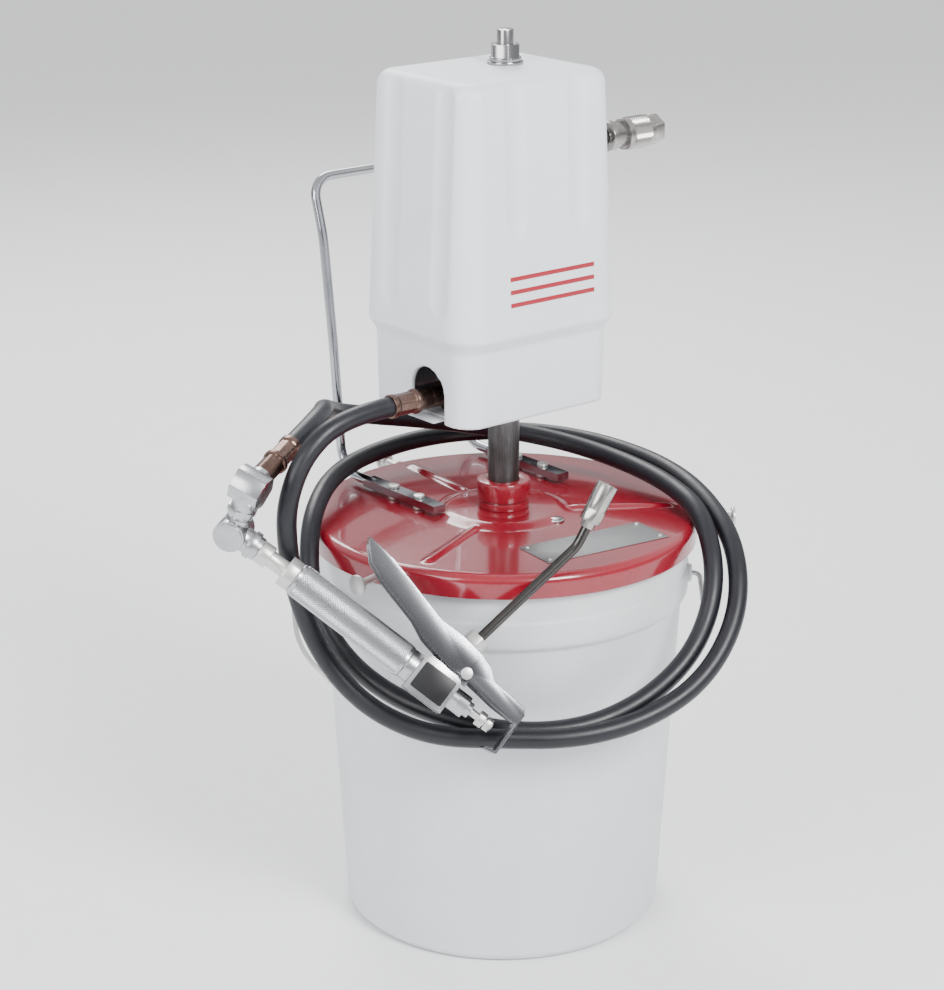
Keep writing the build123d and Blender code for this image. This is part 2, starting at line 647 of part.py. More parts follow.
# ---------------------------------------------------------------- lubricant outlet and hose
def make_outlet_adapter():
    """Adapter screwed into the outlet head."""
    place = towards((-45, OUTLET_Y, OUTLET_HEIGHT), Vector(-1, 0, 0))
    adapter = disc(8.0, 0, 49) + hexagon(22, 22, 34)
    return place * (adapter - disc(3.0, -1, 50))


def hose_end(start, direction, length):
    """Crimped ferrule with its hex nut, from the fitting towards the hose."""
    nut = length - FERRULE_LENGTH
    end = disc(8.2, 0, 3) + hexagon(17, 2, nut - 2) + disc(FERRULE_RADIUS + 0.6, nut - 2.5, nut)
    end += disc(FERRULE_RADIUS, nut, length)
    return towards(start, direction) * end


def make_pump_ferrule():
    """Hose end at the pump."""
    first = HOSE_ROUTE[0]
    length = 94 + first[0]
    return hose_end((-94, OUTLET_Y, OUTLET_HEIGHT), Vector(-1, 0, 0), -length)


def make_hose():
    """Two loose turns of braided hose, laid over the lid and down the pail."""
    radii = corner_radii(HOSE_ROUTE)
    path = FilletPolyline(*HOSE_ROUTE, radius=radii)
    solid = swept_bar(path, HOSE_RADIUS)
    section = pi * HOSE_RADIUS**2
    print(f"hose length {path.length:.0f} mm, smallest radius {min(radii):.0f} mm,",
          f"volume over section x length {solid.volume / (section * path.length):.4f}")
    print("hose radii:", " ".join(f"{radius:.0f}" for radius in radii))
    return solid


HOSE_END = Vector(*HOSE_ROUTE[-1])
HOSE_EXIT = (HOSE_END - Vector(*HOSE_ROUTE[-2])).normalized()
SWIVEL_ELBOW = HOSE_END + HOSE_EXIT * SWIVEL_REACH
ELBOW_BODY_RADIUS = 13.0
ELBOW_ARM = 15.0
SWIVEL_CAP_STATION = -58.0


def make_gun_ferrule():
    """Hose end at the gun."""
    length = SWIVEL_REACH - ELBOW_ARM
    return hose_end(HOSE_END + HOSE_EXIT * length, -HOSE_EXIT, length)


# ---------------------------------------------------------------- swivel and gun
GUN_UP = (GUN_OUTLET - GUN_AXIS * GUN_OUTLET.dot(GUN_AXIS)).normalized()
GUN_SIDE = GUN_UP.cross(GUN_AXIS).normalized()
GUN_LINE = Plane(origin=GUN_HEEL, x_dir=GUN_UP, z_dir=GUN_AXIS)
GUN_PROFILE = Plane(origin=GUN_HEEL, x_dir=GUN_AXIS, z_dir=-GUN_SIDE)
LEVER_LINE = Plane(origin=GUN_HEEL + GUN_AXIS * PIVOT[0] + GUN_UP * PIVOT[1], z_dir=GUN_SIDE)
BODY_CENTRE = GUN_HEEL + GUN_AXIS * OUTLET_STATION
LOWER_ELBOW = GUN_HEEL + GUN_AXIS * SWIVEL_CAP_STATION
SWIVEL_AXIS = (LOWER_ELBOW - SWIVEL_ELBOW).normalized()
SWIVEL_SPAN = (LOWER_ELBOW - SWIVEL_ELBOW).length


def make_upper_elbow():
    """Swivel elbow on the hose, with the collar that the lower elbow turns in."""
    across = HOSE_EXIT.cross(SWIVEL_AXIS).normalized()
    body = towards(SWIVEL_ELBOW, across) * hexagon(2 * ELBOW_BODY_RADIUS - 1, -12, 12)
    body += towards(SWIVEL_ELBOW, -HOSE_EXIT) * disc(9.0, 4, ELBOW_ARM)
    middle = SWIVEL_SPAN - 14.5
    collar = disc(9.5, 4, middle) + hexagon(20, middle - 8, middle - 3)
    return body + towards(SWIVEL_ELBOW, SWIVEL_AXIS) * collar


def make_lower_elbow():
    """Swivel elbow on the gun's line."""
    across = GUN_AXIS.cross(SWIVEL_AXIS).normalized()
    body = towards(LOWER_ELBOW, across) * (disc(12.3, -12, 12) + disc(11.0, -13.2, 13.2))
    body += towards(LOWER_ELBOW, -SWIVEL_AXIS) * disc(9.5, 6, 14.2)
    arm = disc(9.6, 6, 24) + disc(11.2, 15, 20)
    body += towards(LOWER_ELBOW, GUN_AXIS) * arm
    return body - towards(LOWER_ELBOW, GUN_AXIS) * disc(5.0 + SLIP, 16, 25)


def make_gun_inlet():
    """Turning inlet nipple and hex at the grip's heel."""
    inlet = disc(5.0, -40, -30) + disc(9.0, -33.7, -24) + disc(6.6, -24, -10) + hexagon(22, -10, 0)
    return GUN_LINE * inlet


def make_grip():
    """Knurled grip tube with a smooth ring at its front."""
    grip = disc(GRIP_RADIUS, 0, GRIP_LENGTH) + disc(GRIP_RADIUS - 1.2, GRIP_LENGTH, GRIP_LENGTH + GUN_NECK)
    grip = grip - disc(GRIP_BORE, -1, GRIP_LENGTH + GUN_NECK + 1)
    return GUN_LINE * chamfer(grip.edges().filter_by(GeomType.CIRCLE).group_by(Axis.Z)[0][-1], 1.0)


def make_gun_body():
    """Valve body with its outlet boss and the nose that the stem comes out of."""
    start = GRIP_LENGTH + GUN_NECK
    end = start + GUN_BODY_LENGTH
    outline = Polyline((start, -16), (end, -16), (end, 10), (end - 4, 15), (start + 4, 15), (start, 10), close=True)
    body = extrude(GUN_PROFILE * make_face(outline), GUN_BODY_WIDTH / 2, both=True)
    nose = disc(9.0, end, end + 6) + hexagon(16, end + 6, end + 14) + disc(6.2, end + 14, end + 18)
    body += GUN_LINE * nose
    body += towards(BODY_CENTRE, GUN_OUTLET) * disc(8.5, 8, 24)
    body -= GUN_LINE * disc(STEM_RADIUS + RUNNING, end + 1, end + 19)
    across, up = PIVOT
    body += LEVER_LINE * disc(PIVOT_RADIUS + 2.6, -5, 5)
    web = Polyline((across - 5.6, 12), (across + 5.6, 12), (across + 5.6, up), (across - 5.6, up), close=True)
    body += extrude(GUN_PROFILE * make_face(web), 5, both=True)
    return body - LEVER_LINE * disc(PIVOT_RADIUS + SLIP, -20, 20)


def make_gun_label():
    """Blank plate on the flat of the valve body."""
    outline = Pos(OUTLET_STATION, -1.5) * RectangleRounded(28, 22, 1.5)
    place = GUN_PROFILE.offset(GUN_BODY_WIDTH / 2)
    return extrude(place * outline, 0.5)


def make_outlet_hex():
    """Stub and hex nut that hold the extension tube."""
    start, end = OUTLET_HEX_START, OUTLET_HEX_START + OUTLET_HEX_LENGTH
    return towards(BODY_CENTRE, GUN_OUTLET) * (disc(5.2, 24, start) + hexagon(17, start, end))


def extension_path():
    """Straight run of the extension tube, then its bend towards the nose."""
    corner = BODY_CENTRE + GUN_OUTLET * EXTENSION_REACH
    start = BODY_CENTRE + GUN_OUTLET * (OUTLET_HEX_START + OUTLET_HEX_LENGTH)
    return start, corner, corner + EXTENSION_NOSE * 16


def make_extension():
    """Rigid extension tube that leans towards the lid's rim."""
    start, corner, end = extension_path()
    return swept_bar(FilletPolyline(start, corner, end, radius=26.0), EXTENSION_RADIUS)


def make_grease_coupler():
    """Coupler that snaps on a lubrication fitting."""
    base = extension_path()[2]
    length = GREASE_COUPLER_LENGTH
    coupler = disc(5.6, 0, 6) + hexagon(15, 5, 15) + disc(GREASE_COUPLER_RADIUS, 15, length)
    coupler -= disc(GREASE_COUPLER_BORE, length - 12, length + 1)
    return towards(base, EXTENSION_NOSE) * coupler


def make_lever():
    """Channel lever: two side plates joined by a web, with a hooked front flange."""
    top = [(24.7, 57.2), (50.4, 54.5), (82, 46.4), (104.7, 40.4), (125, 40.5), (145.4, 37.8), (157.5, 33.6),
           (164.2, 27.5), (194, 25.3), (197.5, 20.5)]
    low = [(197.5, 12), (176, 12), (160, 14), (147, 15.2), (132, 15.2), (118, 17.5), (103.3, 20.5), (89, 27),
           (54.1, 36), (37.1, 43), (28, 52)]
    cheeks = extrude(GUN_PROFILE * make_face(Polyline(*top, *low, close=True)), GUN_BODY_WIDTH / 2 + 0.6 + LEVER_PLATE,
                     both=True)
    core_low = [(x, y - 8) for x, y in low]
    core_top = [(x, y - LEVER_PLATE) for x, y in top[:3]] + [(112, 38.2), (113, 60), (150, 60), (151, 34.2),
                                                             (164, 25.4), (193, 23.2), (195.5, 19)]
    core = extrude(GUN_PROFILE * make_face(Polyline(*core_top, (195.5, 0), *core_low[1:], (20, 44), close=True)),
                   GUN_BODY_WIDTH / 2 + 0.6, both=True)
    lever = cheeks - core
    flange = Polyline((195.5, 20), (197.5, 20), (197.5, -15), (187, -17), (187, -15), (195.5, -13), close=True)
    lever += extrude(GUN_PROFILE * make_face(flange), GUN_BODY_WIDTH / 2 + 0.6 + LEVER_PLATE, both=True)
    return lever - LEVER_LINE * disc(PIVOT_RADIUS, -30, 30)


def make_lever_pin():
    """Pivot pin riveted through the lever, and the rivet that braces its cheeks."""
    half = GUN_BODY_WIDTH / 2 + 0.6 + LEVER_PLATE
    heads = disc(PIVOT_RADIUS + 1.6, half, half + 2) + disc(PIVOT_RADIUS + 1.6, -half - 2, -half)
    return LEVER_LINE * (disc(PIVOT_RADIUS, -half, half) + heads)


def make_stem():
    """Valve stem with the adjusting nuts that the lever's flange works on."""
    start = GRIP_LENGTH + GUN_NECK + GUN_BODY_LENGTH + 3
    return GUN_LINE * (disc(STEM_RADIUS, start, 184) + hexagon(11, 171, 177) + hexagon(10, 178, 183))


# ---------------------------------------------------------------- write everything
def build():
    """Build each sub-part and write its STEP file."""
    save("pail", make_pail())
    save("bail_wire", make_bail())
    save("lid", make_lid())
    save("lid_gasket", make_gasket())
    save("lid_collar", make_collar())
    save("vent_plug", make_vent())
    save("label_plate", make_label_plate())
    save("screw_bosses", make_bosses())
    for number, angle in enumerate(SCREW_ANGLES, start=1):
        save(f"thumb_screw_{number}", make_thumb_screw(angle))
    save("carrying_handle", make_handle())
    save("handle_screws", make_handle_screws())

    save("pump_tube", make_pump_tube())
    save("foot_valve_body", make_foot_valve())
    save("inlet_ball", make_inlet_ball())
    save("plunger", make_plunger())
    save("discharge_ball", make_discharge_ball())
    save("piston_rod", make_piston_rod())
    save("pump_head", make_pump_head())
    save("rod_packing", make_rod_packing())

    save("base_plate", make_base_plate())
    save("cylinder_base", make_cylinder_base())
    save("air_cylinder", make_air_cylinder())
    save("cylinder_head", make_cylinder_head())
    save("tie_rods", make_tie_rods())
    save("air_piston", make_air_piston())
    save("piston_seal", make_piston_seal())
    save("valve_chest", make_valve_chest())
    save("air_spool", make_air_spool())
    save("exhaust_muffler", make_muffler())
    save("motor_cover", make_cover())
    save("cover_stud", make_stud())
    save("cover_washer", make_cover_washer())
    save("cover_nut", make_cover_nut())

    save("inlet_nipple", make_inlet_nipple())
    save("coupler_body", make_coupler_body())
    save("coupler_sleeve", make_coupler_sleeve())

    save("outlet_adapter", make_outlet_adapter())
    save("hose_ferrule_pump", make_pump_ferrule())
    save("hose", make_hose())
    save("hose_ferrule_gun", make_gun_ferrule())
    save("swivel_elbow_upper", make_upper_elbow())
    save("swivel_elbow_lower", make_lower_elbow())
    save("gun_inlet", make_gun_inlet())
    save("grip_tube", make_grip())
    save("gun_body", make_gun_body())
    save("gun_label", make_gun_label())
    save("outlet_hex", make_outlet_hex())
    save("extension_tube", make_extension())
    save("grease_coupler", make_grease_coupler())
    save("lever", make_lever())
    save("lever_pin", make_lever_pin())
    save("valve_stem", make_stem())


build()
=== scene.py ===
"""Air-operated lubricant pump on its pail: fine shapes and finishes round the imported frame.

Lengths are metres unless a name ends in _mm.  +Z is up, +X the air inlet, -X the outlet
and +Y the carrying handle.
"""

import json
import logging
import math
from dataclasses import dataclass, field
from enum import Enum
from typing import Any, Callable, Iterable

import bpy
from mathutils import Matrix, Vector

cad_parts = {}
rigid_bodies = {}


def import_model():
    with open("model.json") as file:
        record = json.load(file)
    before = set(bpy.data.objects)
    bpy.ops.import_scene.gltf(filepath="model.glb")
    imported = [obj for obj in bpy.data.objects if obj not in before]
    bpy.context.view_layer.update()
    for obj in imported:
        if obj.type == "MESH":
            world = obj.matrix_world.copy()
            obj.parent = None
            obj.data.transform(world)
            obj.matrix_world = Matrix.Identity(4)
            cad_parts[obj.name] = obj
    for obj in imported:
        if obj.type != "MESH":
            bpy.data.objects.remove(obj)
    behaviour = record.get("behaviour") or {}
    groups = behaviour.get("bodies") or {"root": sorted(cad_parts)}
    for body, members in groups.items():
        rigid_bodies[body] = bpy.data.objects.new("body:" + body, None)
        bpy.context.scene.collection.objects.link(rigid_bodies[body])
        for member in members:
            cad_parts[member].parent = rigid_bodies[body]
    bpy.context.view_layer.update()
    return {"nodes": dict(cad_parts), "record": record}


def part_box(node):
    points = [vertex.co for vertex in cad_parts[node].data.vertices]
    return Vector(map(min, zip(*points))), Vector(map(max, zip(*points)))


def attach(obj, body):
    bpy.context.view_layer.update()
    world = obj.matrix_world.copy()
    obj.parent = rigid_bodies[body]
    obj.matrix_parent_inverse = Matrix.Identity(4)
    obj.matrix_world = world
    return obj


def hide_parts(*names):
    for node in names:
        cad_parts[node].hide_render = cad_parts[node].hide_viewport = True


for leftover in list(bpy.data.objects):
    bpy.data.objects.remove(leftover)
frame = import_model()
LOG = logging.getLogger("pump")
MM = 0.001
Profile = list[tuple[float, float]]


# ---------------------------------------------------------------- finishes
class Grain(Enum):
    """How a surface was made, which sets the direction and shape of its relief."""

    MOULDED = "moulded"
    SPRAYED = "sprayed"
    PLATED = "plated"
    DRAWN = "drawn"
    CAST = "cast"


def linear(colour: str) -> tuple[float, float, float, float]:
    """Turn an sRGB hex value to linear colour.

    Args:
        colour: six hex digits.

    Returns:
        Linear red, green, blue and an alpha of one.
    """
    parts = [int(colour[place:place + 2], 16) / 255 for place in (0, 2, 4)]
    parts = [part / 12.92 if part <= 0.04045 else ((part + 0.055) / 1.055) ** 2.4 for part in parts]
    return parts[0], parts[1], parts[2], 1.0


def add_node(tree: bpy.types.NodeTree, kind: str, settings: dict[str, Any],
             links: dict[str, Any]) -> bpy.types.Node:
    """Add one node with its settings and links.

    Args:
        tree: the material's node tree.
        kind: the node's type name.
        settings: attributes by name, and socket values by their name after a slash.
        links: output sockets by the name of the input that each one feeds.

    Returns:
        The new node.
    """
    made = tree.nodes.new(kind)
    for name, value in settings.items():
        if name.startswith("/"):
            made.inputs[name[1:]].default_value = value
        else:
            setattr(made, name, value)
    for name, output in links.items():
        tree.links.new(output, made.inputs[int(name) if name.isdigit() else name])
    return made


@dataclass(frozen=True)
class Finish:
    """One real surface finish, from its colours to the relief that its making leaves."""

    name: str
    colour: str
    shade: str
    roughness: float
    metallic: float = 0.0
    grain: Grain = Grain.PLATED
    grain_mm: float = 1.0
    relief_mm: float = 0.01
    uneven: float = 0.06
    mottle_mm: float = 25.0
    coat: float = 0.0
    along: tuple[float, float, float] = (0.0, 0.0, 1.0)

    def stretch(self) -> tuple[float, float, float]:
        """Relief scale along the part's own axes, long where the surface was drawn."""
        return (1.0, 1.0, 0.04) if self.grain is Grain.DRAWN else (1.0, 1.0, 1.0)

    def material(self) -> bpy.types.Material:
        """Build the material once, and give it back on later calls."""
        made = bpy.data.materials.get(self.name)
        if made:
            return made
        made = bpy.data.materials.new(self.name)
        made.use_nodes = True
        tree = made.node_tree
        tree.nodes.clear()
        turn = Vector(self.along).rotation_difference(Vector((0, 0, 1))).to_euler()
        place = add_node(tree, "ShaderNodeTexCoord", {}, {})
        turned = add_node(tree, "ShaderNodeMapping", {"/Rotation": turn}, {"Vector": place.outputs["Object"]})
        scaled = add_node(tree, "ShaderNodeMapping", {"/Scale": self.stretch()},
                          {"Vector": turned.outputs[0]})
        cloud = add_node(tree, "ShaderNodeTexNoise", {"/Scale": 1000 / self.mottle_mm, "/Detail": 4.0},
                         {"Vector": place.outputs["Object"]})
        grit = add_node(tree, "ShaderNodeTexNoise", {"/Scale": 1000 / self.grain_mm, "/Detail": 3.0},
                        {"Vector": scaled.outputs[0]})
        both = add_node(tree, "ShaderNodeMath", {"operation": "ADD"},
                        {"0": cloud.outputs["Fac"], "1": grit.outputs["Fac"]})
        share = add_node(tree, "ShaderNodeMapRange", {"/From Min": 0.7, "/From Max": 1.3},
                         {"Value": both.outputs[0]})
        tint = add_node(tree, "ShaderNodeMix", {"data_type": "RGBA"}, {"0": share.outputs[0]})
        tint.inputs[6].default_value = linear(self.colour)
        tint.inputs[7].default_value = linear(self.shade)
        gloss = add_node(tree, "ShaderNodeMapRange",
                         {"/To Min": self.roughness - self.uneven, "/To Max": self.roughness + self.uneven},
                         {"Value": share.outputs[0]})
        bump = add_node(tree, "ShaderNodeBump", {"/Distance": self.relief_mm * MM},
                        {"Height": grit.outputs["Fac"]})
        shader = add_node(tree, "ShaderNodeBsdfPrincipled",
                          {"/Metallic": self.metallic, "/Coat Weight": self.coat, "/Coat Roughness": 0.06},
                          {"Base Color": tint.outputs[2], "Roughness": gloss.outputs[0],
                           "Normal": bump.outputs[0]})
        add_node(tree, "ShaderNodeOutputMaterial", {}, {"Surface": shader.outputs[0]})
        return made


FINISHES = {
    # blow-moulded polyethylene: dense white, faintly waxy, with a shallow orange peel
    "pail_enamel": Finish("white_polyethylene", "D9DBDD", "CFD2D5", 0.42, grain=Grain.MOULDED, grain_mm=1.6,
                          relief_mm=0.03, mottle_mm=60),
    # sprayed and baked enamel over pressed steel: wet gloss with a slight peel
    "lid_enamel": Finish("red_enamel", "8C1426", "7C0F20", 0.20, grain=Grain.SPRAYED, grain_mm=3.0,
                         relief_mm=0.012, coat=0.6, mottle_mm=70),
    # hot-dip zinc on wire: dull with a fine spangle
    "galvanised_wire": Finish("galvanised_wire", "A9ABAB", "8E9092", 0.42, 1.0, Grain.PLATED, 0.8, 0.02),
    "gasket_rubber": Finish("nitrile_rubber", "141414", "1C1C1D", 0.7, grain=Grain.MOULDED, grain_mm=0.8),
    "vent_cap": Finish("nickel_cap", "B9B9B8", "8F8E8C", 0.25, 1.0, Grain.PLATED, 1.2, 0.01),
    # etched aluminium: flat grey with a faint roll direction
    "blank_plate": Finish("etched_aluminium", "8E9090", "7B7D7E", 0.42, 1.0, Grain.DRAWN, 0.5, 0.008,
                          along=(1.0, 0.0, 0.0)),
    "zinc_plate": Finish("zinc_plate", "9FA0A0", "838588", 0.30, 1.0, Grain.PLATED, 0.9, 0.012),
    # bright chrome over polished rod: mirror gloss, hardly any relief
    "handle_chrome": Finish("bright_chrome", "B4B6BA", "A2A5AA", 0.13, 1.0, Grain.PLATED, 1.5,
                            0.004, uneven=0.04),
    # cold-drawn tube wiped with oil: dark grey with lines along its length
    "tube_steel": Finish("drawn_tube", "6B6A6A", "4A4949", 0.36, 1.0, Grain.DRAWN, 0.5, 0.02),
    "bearing_steel": Finish("bearing_steel", "C8C8CA", "B5B5B8", 0.12, 1.0, Grain.PLATED, 1.0, 0.002),
    "head_iron": Finish("painted_iron", "2A2A2C", "1F1F21", 0.5, grain=Grain.CAST, grain_mm=1.4,
                        relief_mm=0.08),
    "plate_grey": Finish("powder_coat", "C9CCD0", "B9BDC2", 0.45, grain=Grain.SPRAYED,
                         grain_mm=0.8, relief_mm=0.02),
    "motor_alloy": Finish("machined_alloy", "A4A6A8", "8C8F92", 0.34, 1.0, Grain.DRAWN, 0.4, 0.01),
    "sintered_bronze": Finish("sintered_bronze", "8C6A3A", "6E5230", 0.6, 1.0, Grain.CAST, 0.6, 0.06),
    # moulded ABS with a fine spark-eroded texture: cool white and nearly matt
    "cover_plastic": Finish("white_abs", "E6E9EE", "DDE1E7", 0.46, grain=Grain.MOULDED, grain_mm=0.9,
                            relief_mm=0.035, mottle_mm=80),
    "nut_chrome": Finish("nickel_plate", "B5B5B6", "97979A", 0.22, 1.0, Grain.PLATED, 0.9, 0.008),
    "coupler_steel": Finish("bright_nickel", "B9B7B4", "8F8C89", 0.24, 1.0, Grain.PLATED, 0.8, 0.012),
    # brown passivated zinc: warm metal with a faint bloom
    "bronze_plate": Finish("brown_passivate", "7E675E", "5E4A42", 0.30, 1.0, Grain.PLATED, 1.2,
                           0.015, mottle_mm=9),
    # wrapped synthetic rubber: blue-black, half matt, with a faint cloth impression
    "hose_rubber": Finish("hose_cover", "0A0B13", "0F1019", 0.42, grain=Grain.MOULDED,
                          grain_mm=1.1, relief_mm=0.05, mottle_mm=14),
    # die-cast zinc with a dull tumbled face
    "gun_zinc": Finish("tumbled_zinc", "BDBEC0", "A6A7AA", 0.30, 1.0, Grain.CAST, 0.9, 0.012, mottle_mm=30),
    "lever_plate": Finish("pressed_steel", "7E7F82", "626367", 0.26, 1.0, Grain.PLATED, 1.2, 0.010,
                          mottle_mm=30),
    "extension_steel": Finish("polished_tube", "5A5856", "42403F", 0.24, 1.0, Grain.DRAWN, 0.6, 0.008),
    "gun_label_black": Finish("black_film", "0E0E10", "161618", 0.38, grain=Grain.MOULDED, grain_mm=1.0),
}
TRIM_RED = Finish("trim_red_film", "A3202F", "971B2A", 0.35, grain=Grain.MOULDED, grain_mm=1.2,
                  relief_mm=0.01)


def slot_of(node: str) -> str:
    """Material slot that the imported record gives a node."""
    rows = frame["record"]["subparts"]
    return next(row["material_slot"] for row in rows if row["node"] == node)


def body_of(node: str) -> str:
    """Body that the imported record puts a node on."""
    groups = frame["record"]["behaviour"]["bodies"]
    return next(body for body, nodes in groups.items() if node in nodes)


def joint(name: str) -> dict[str, Any]:
    """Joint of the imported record, by its name."""
    return next(entry for entry in frame["record"]["behaviour"]["joints"] if entry["name"] == name)


# ---------------------------------------------------------------- modelling helpers
def only(piece: bpy.types.Object) -> bpy.types.Object:
    """Select one object alone and make it the active one."""
    bpy.ops.object.select_all(action="DESELECT")
    piece.select_set(True)
    bpy.context.view_layer.objects.active = piece
    return piece


def newest(name: str) -> bpy.types.Object:
    """Name the object that an operator has just added."""
    piece = bpy.context.active_object
    piece.name = name
    piece.data.name = name
    return piece


def settle(piece: bpy.types.Object, place: Matrix | None = None) -> bpy.types.Object:
    """Put a piece in its place and apply that to its mesh.

    Args:
        piece: the piece, modelled about the origin.
        place: where it goes, if it isn't there yet.

    Returns:
        The piece, with its object at the origin.
    """
    only(piece)
    if place:
        piece.matrix_world = place @ piece.matrix_world
    bpy.ops.object.transform_apply(location=True, rotation=True, scale=True)
    return piece


def aimed(start: Vector, axis: Vector) -> Matrix:
    """Placement whose Z axis points along axis from start."""
    return Matrix.Translation(start) @ axis.to_track_quat("Z", "Y").to_matrix().to_4x4()


def apply_modifier(piece: bpy.types.Object, kind: str, **settings: Any) -> None:
    """Add a modifier with its settings and apply it."""
    only(piece)
    modifier = piece.modifiers.new(kind.lower(), kind)
    for name, value in settings.items():
        setattr(modifier, name, value)
    bpy.ops.object.modifier_apply(modifier=modifier.name)


def smooth(piece: bpy.types.Object, degrees: float = 35.0) -> bpy.types.Object:
    """Shade a piece smooth, except across edges sharper than an angle."""
    only(piece)
    bpy.ops.object.shade_smooth_by_angle(angle=math.radians(degrees))
    return piece


def lathe(name: str, profile: Profile, segments: int, closed: bool = False) -> bpy.types.Object:
    """Turn a profile about Z, as on a lathe.

    Args:
        name: the piece's name.
        profile: radius and height of each corner, in order.
        segments: steps round the axis.
        closed: whether the profile's last corner joins its first.

    Returns:
        The turned piece, with its normals outwards.
    """
    bpy.ops.object.select_all(action="DESELECT")
    bpy.ops.mesh.primitive_circle_add(vertices=3, radius=MM)
    piece = newest(name)
    bpy.ops.object.mode_set(mode="EDIT")
    bpy.ops.mesh.select_all(action="SELECT")
    bpy.ops.mesh.merge(type="CENTER")
    corners = list(profile) + ([profile[0]] if closed else [])
    bpy.ops.transform.translate(value=(corners[0][0], 0, corners[0][1]))
    for before, here in zip(corners, corners[1:]):
        step = (here[0] - before[0], 0, here[1] - before[1])
        bpy.ops.mesh.extrude_vertices_move(TRANSFORM_OT_translate={"value": step})
    bpy.ops.mesh.select_all(action="SELECT")
    bpy.ops.mesh.spin(steps=segments, angle=math.tau, center=(0, 0, 0), axis=(0, 0, 1))
    bpy.ops.mesh.select_all(action="SELECT")
    bpy.ops.mesh.remove_doubles(threshold=0.00001)
    bpy.ops.mesh.normals_make_consistent(inside=False)
    bpy.ops.object.mode_set(mode="OBJECT")
    return piece


def rounded(profile: Profile, radius: float, steps: int = 4) -> Profile:
    """Round the inner corners of a profile with short arcs.

    Args:
        profile: radius and height of each corner.
        radius: the arc's radius, cut down where a run is short.
        steps: runs in each arc.

    Returns:
        The profile with each sharp corner spread over a few points.
    """
    points = [Vector(corner) for corner in profile]
    made = [points[0]]
    for before, here, after in zip(points, points[1:], points[2:]):
        into, out = before - here, after - here
        reach = min(radius, 0.45 * into.length, 0.45 * out.length)
        start, end = here + into.normalized() * reach, here + out.normalized() * reach
        for step in range(steps + 1):
            share = step / steps
            made.append(start.lerp(here, share).lerp(here.lerp(end, share), share))
    return [(point.x, point.y) for point in made + [points[-1]]]


def shape_vertices(piece: bpy.types.Object, move: Callable[[Vector], Vector]) -> None:
    """Move each vertex of a piece by a rule."""
    for vertex in piece.data.vertices:
        vertex.co = move(vertex.co)
    piece.data.update()


def mount(piece: bpy.types.Object, node: str, finish: Finish | None = None,
          stands_for: Iterable[str] = ()) -> None:
    """Dress a piece, put it on its node's body and let it stand for CAD nodes.

    Args:
        piece: the finished piece.
        node: CAD node whose body and slot the piece takes.
        finish: its finish, if not the slot's own.
        stands_for: CAD nodes that the piece replaces.
    """
    piece.data.materials.clear()
    piece.data.materials.append((finish or FINISHES[slot_of(node)]).material())
    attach(piece, body_of(node))
    if stands_for:
        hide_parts(*stands_for)
    LOG.info("%s rides on %s", piece.name, body_of(node))


def eased(node: str, width_mm: float = 0.4, segments: int = 2) -> bpy.types.Object:
    """Copy a CAD node and break its sharp edges, as a deburred part has them.

    Args:
        node: the CAD node.
        width_mm: width of the broken edge.
        segments: rows of faces in it.

    Returns:
        The eased piece, standing for its node.
    """
    piece = bpy.data.objects.new(f"{node}_eased", frame["nodes"][node].data.copy())
    bpy.context.scene.collection.objects.link(piece)
    only(piece)
    bpy.ops.mesh.customdata_custom_splitnormals_clear()
    bpy.ops.object.mode_set(mode="EDIT")
    bpy.ops.mesh.select_all(action="SELECT")
    bpy.ops.mesh.remove_doubles(threshold=0.000005)
    bpy.ops.mesh.dissolve_limited(angle_limit=math.radians(2.0))
    bpy.ops.object.mode_set(mode="OBJECT")
    apply_modifier(piece, "BEVEL", width=width_mm * MM, segments=segments, limit_method="ANGLE",
                   angle_limit=math.radians(40), harden_normals=False)
    smooth(piece)
    mount(piece, node, stands_for=[node])
    return piece


# ---------------------------------------------------------------- pail
@dataclass
class Pail:
    """Moulded pail with a stiffening band and the bosses for its bail."""

    wall_mm: float = 2.0
    band_mm: float = 60.0
    foot_mm: float = 131.0
    segments: int = 160

    def build(self) -> None:
        """Turn the shell, add the ear bosses and finish both."""
        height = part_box("pail")[1].z
        mouth = frame_radius("lid_gasket")
        foot = self.foot_mm * MM
        band = mouth + 0.0015
        wall = self.wall_mm * MM
        band_low = height - self.band_mm * MM
        at_band = foot + (band - 0.0025 - foot) * band_low / height
        outer = [(0.0, 0.0), (foot - 0.006, 0.0), (foot, 0.006), (at_band, band_low - 0.002),
                 (band - 0.001, band_low + 0.001), (band, band_low + 0.006), (band, band_low + 0.022),
                 (band - 0.0012, band_low + 0.024), (band - 0.0012, height - 0.012), (band, height - 0.010),
                 (band, height), (band - 0.0045, height), (band - 0.0045, height - 0.004),
                 (at_band - wall, band_low), (foot - wall, 0.008), (0.0, 0.0025)]
        shell = lathe("pail_shell", rounded(outer, 0.003), self.segments)
        smooth(shell, 50)
        mount(shell, "pail", stands_for=["pail"])
        self.ears(band)

    def ears(self, radius: float) -> None:
        """Add the two bosses that the bail's ends turn in."""
        hinge = joint("bail_swing")
        centre, axis = Vector(hinge["pos_m"]), Vector(hinge["axis"])
        for number, side in enumerate((-1, 1), start=1):
            profile = [(0.0022, -0.001), (0.0022, 0.0028), (0.0062, 0.0028), (0.0075, 0.0014),
                       (0.0075, -0.001)]
            boss = lathe(f"bail_ear_{number}", profile, 32, closed=True)
            settle(boss, aimed(centre + axis * side * radius, axis * side))
            mount(smooth(boss), "pail")


def frame_radius(node: str) -> float:
    """Outer radius of a round CAD node that is centred on the pump's axis."""
    low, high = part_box(node)
    return (high.x - low.x) / 2


